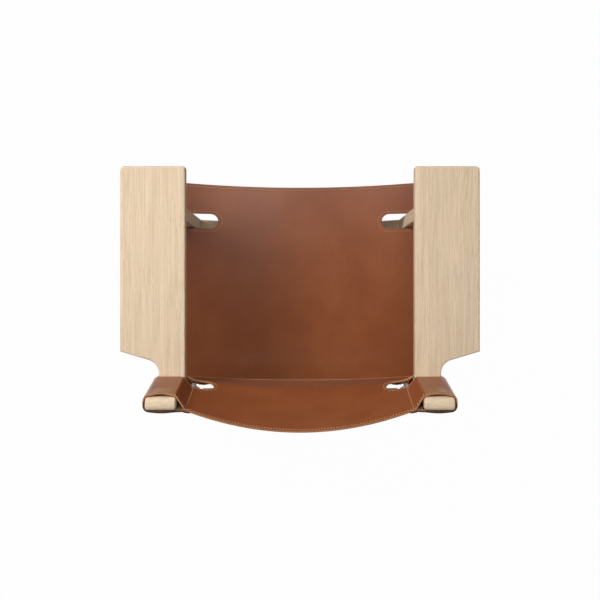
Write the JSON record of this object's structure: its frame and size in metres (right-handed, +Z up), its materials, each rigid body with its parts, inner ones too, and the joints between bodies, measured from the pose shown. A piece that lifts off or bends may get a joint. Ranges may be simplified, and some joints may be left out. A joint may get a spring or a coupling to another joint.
{
  "type": "leather sling lounge chair",
  "caption": "Low oak lounge chair with broad flat armrests, a sagging leather sling seat and a bowed leather sling back drawn tight by buckled straps.",
  "frame": {"origin": "on the floor, under the middle of the chair's box", "axes": "+Z up, the front faces -Y, the sitter's left is +X"},
  "size_m": [0.825, 0.6, 0.67],
  "materials": {
    "oak": "soaped, pale, straight grain",
    "beech": "raw turned dowel",
    "sling_leather": "thick vegetable-tanned cowhide, waxed",
    "strap_leather": "vegetable-tanned strap leather",
    "brass": "cast and tumbled, satin",
    "nylon": "moulded, dark"
  },
  "bodies": {
    "chair": {"armrest_left": "oak", "front_leg_left": "oak", "rear_leg_left": "oak", "seat_rail_left": "oak", "armrest_dowel_inner_left": "beech", "armrest_dowel_outer_left": "beech", "armrest_dowel_rear_left": "beech", "rail_dowel_front_left": "beech", "rail_dowel_rear_left": "beech", "front_glide_left": "nylon", "rear_glide_left": "nylon", "seat_strap_front_left": "strap_leather", "seat_chape_front_left": "strap_leather", "seat_buckle_front_left": "brass", "seat_strap_middle_left": "strap_leather", "seat_chape_middle_left": "strap_leather", "seat_buckle_middle_left": "brass", "seat_strap_rear_left": "strap_leather", "seat_chape_rear_left": "strap_leather", "seat_buckle_rear_left": "brass", "back_strap_left": "strap_leather", "back_chape_left": "strap_leather", "back_buckle_left": "brass", "armrest_right": "oak", "front_leg_right": "oak", "rear_leg_right": "oak", "seat_rail_right": "oak", "armrest_dowel_inner_right": "beech", "armrest_dowel_outer_right": "beech", "armrest_dowel_rear_right": "beech", "rail_dowel_front_right": "beech", "rail_dowel_rear_right": "beech", "front_glide_right": "nylon", "rear_glide_right": "nylon", "seat_strap_front_right": "strap_leather", "seat_chape_front_right": "strap_leather", "seat_buckle_front_right": "brass", "seat_strap_middle_right": "strap_leather", "seat_chape_middle_right": "strap_leather", "seat_buckle_middle_right": "brass", "seat_strap_rear_right": "strap_leather", "seat_chape_rear_right": "strap_leather", "seat_buckle_rear_right": "brass", "back_strap_right": "strap_leather", "back_chape_right": "strap_leather", "back_buckle_right": "brass", "front_stretcher": "oak", "rear_stretcher": "oak", "seat_sling": "sling_leather", "back_sling": "sling_leather"},
    "seat_prong_front_left": {"seat_prong_front_left": "brass"},
    "seat_prong_middle_left": {"seat_prong_middle_left": "brass"},
    "seat_prong_rear_left": {"seat_prong_rear_left": "brass"},
    "back_prong_left": {"back_prong_left": "brass"},
    "seat_prong_front_right": {"seat_prong_front_right": "brass"},
    "seat_prong_middle_right": {"seat_prong_middle_right": "brass"},
    "seat_prong_rear_right": {"seat_prong_rear_right": "brass"},
    "back_prong_right": {"back_prong_right": "brass"}
  },
  "joints": [
    {"name": "seat_prong_front_left_hinge", "type": "hinge", "parent": "chair", "child": "seat_prong_front_left", "pos_m": [0.1745, -0.24993, 0.2871], "axis": [0, 0.995, -0.0998], "range_deg": [0, 12]},
    {"name": "seat_prong_middle_left_hinge", "type": "hinge", "parent": "chair", "child": "seat_prong_middle_left", "pos_m": [0.1745, -0.1022, 0.27227], "axis": [0, 0.995, -0.0998], "range_deg": [0, 12]},
    {"name": "seat_prong_rear_left_hinge", "type": "hinge", "parent": "chair", "child": "seat_prong_rear_left", "pos_m": [0.1745, 0.1325, 0.24872], "axis": [0, 0.995, -0.0998], "range_deg": [0, 12]},
    {"name": "back_prong_left_hinge", "type": "hinge", "parent": "chair", "child": "back_prong_left", "pos_m": [0.1735, 0.21218, 0.422], "axis": [0, 0, 1], "range_deg": [0, 12]},
    {"name": "seat_prong_front_right_hinge", "type": "hinge", "parent": "chair", "child": "seat_prong_front_right", "pos_m": [-0.1745, -0.24993, 0.2871], "axis": [0, -0.995, 0.0998], "range_deg": [0, 12]},
    {"name": "seat_prong_middle_right_hinge", "type": "hinge", "parent": "chair", "child": "seat_prong_middle_right", "pos_m": [-0.1745, -0.1022, 0.27227], "axis": [0, -0.995, 0.0998], "range_deg": [0, 12]},
    {"name": "seat_prong_rear_right_hinge", "type": "hinge", "parent": "chair", "child": "seat_prong_rear_right", "pos_m": [-0.1745, 0.1325, 0.24872], "axis": [0, -0.995, 0.0998], "range_deg": [0, 12]},
    {"name": "back_prong_right_hinge", "type": "hinge", "parent": "chair", "child": "back_prong_right", "pos_m": [-0.1735, 0.21218, 0.422], "axis": [0, 0, -1], "range_deg": [0, 12]}
  ]
}
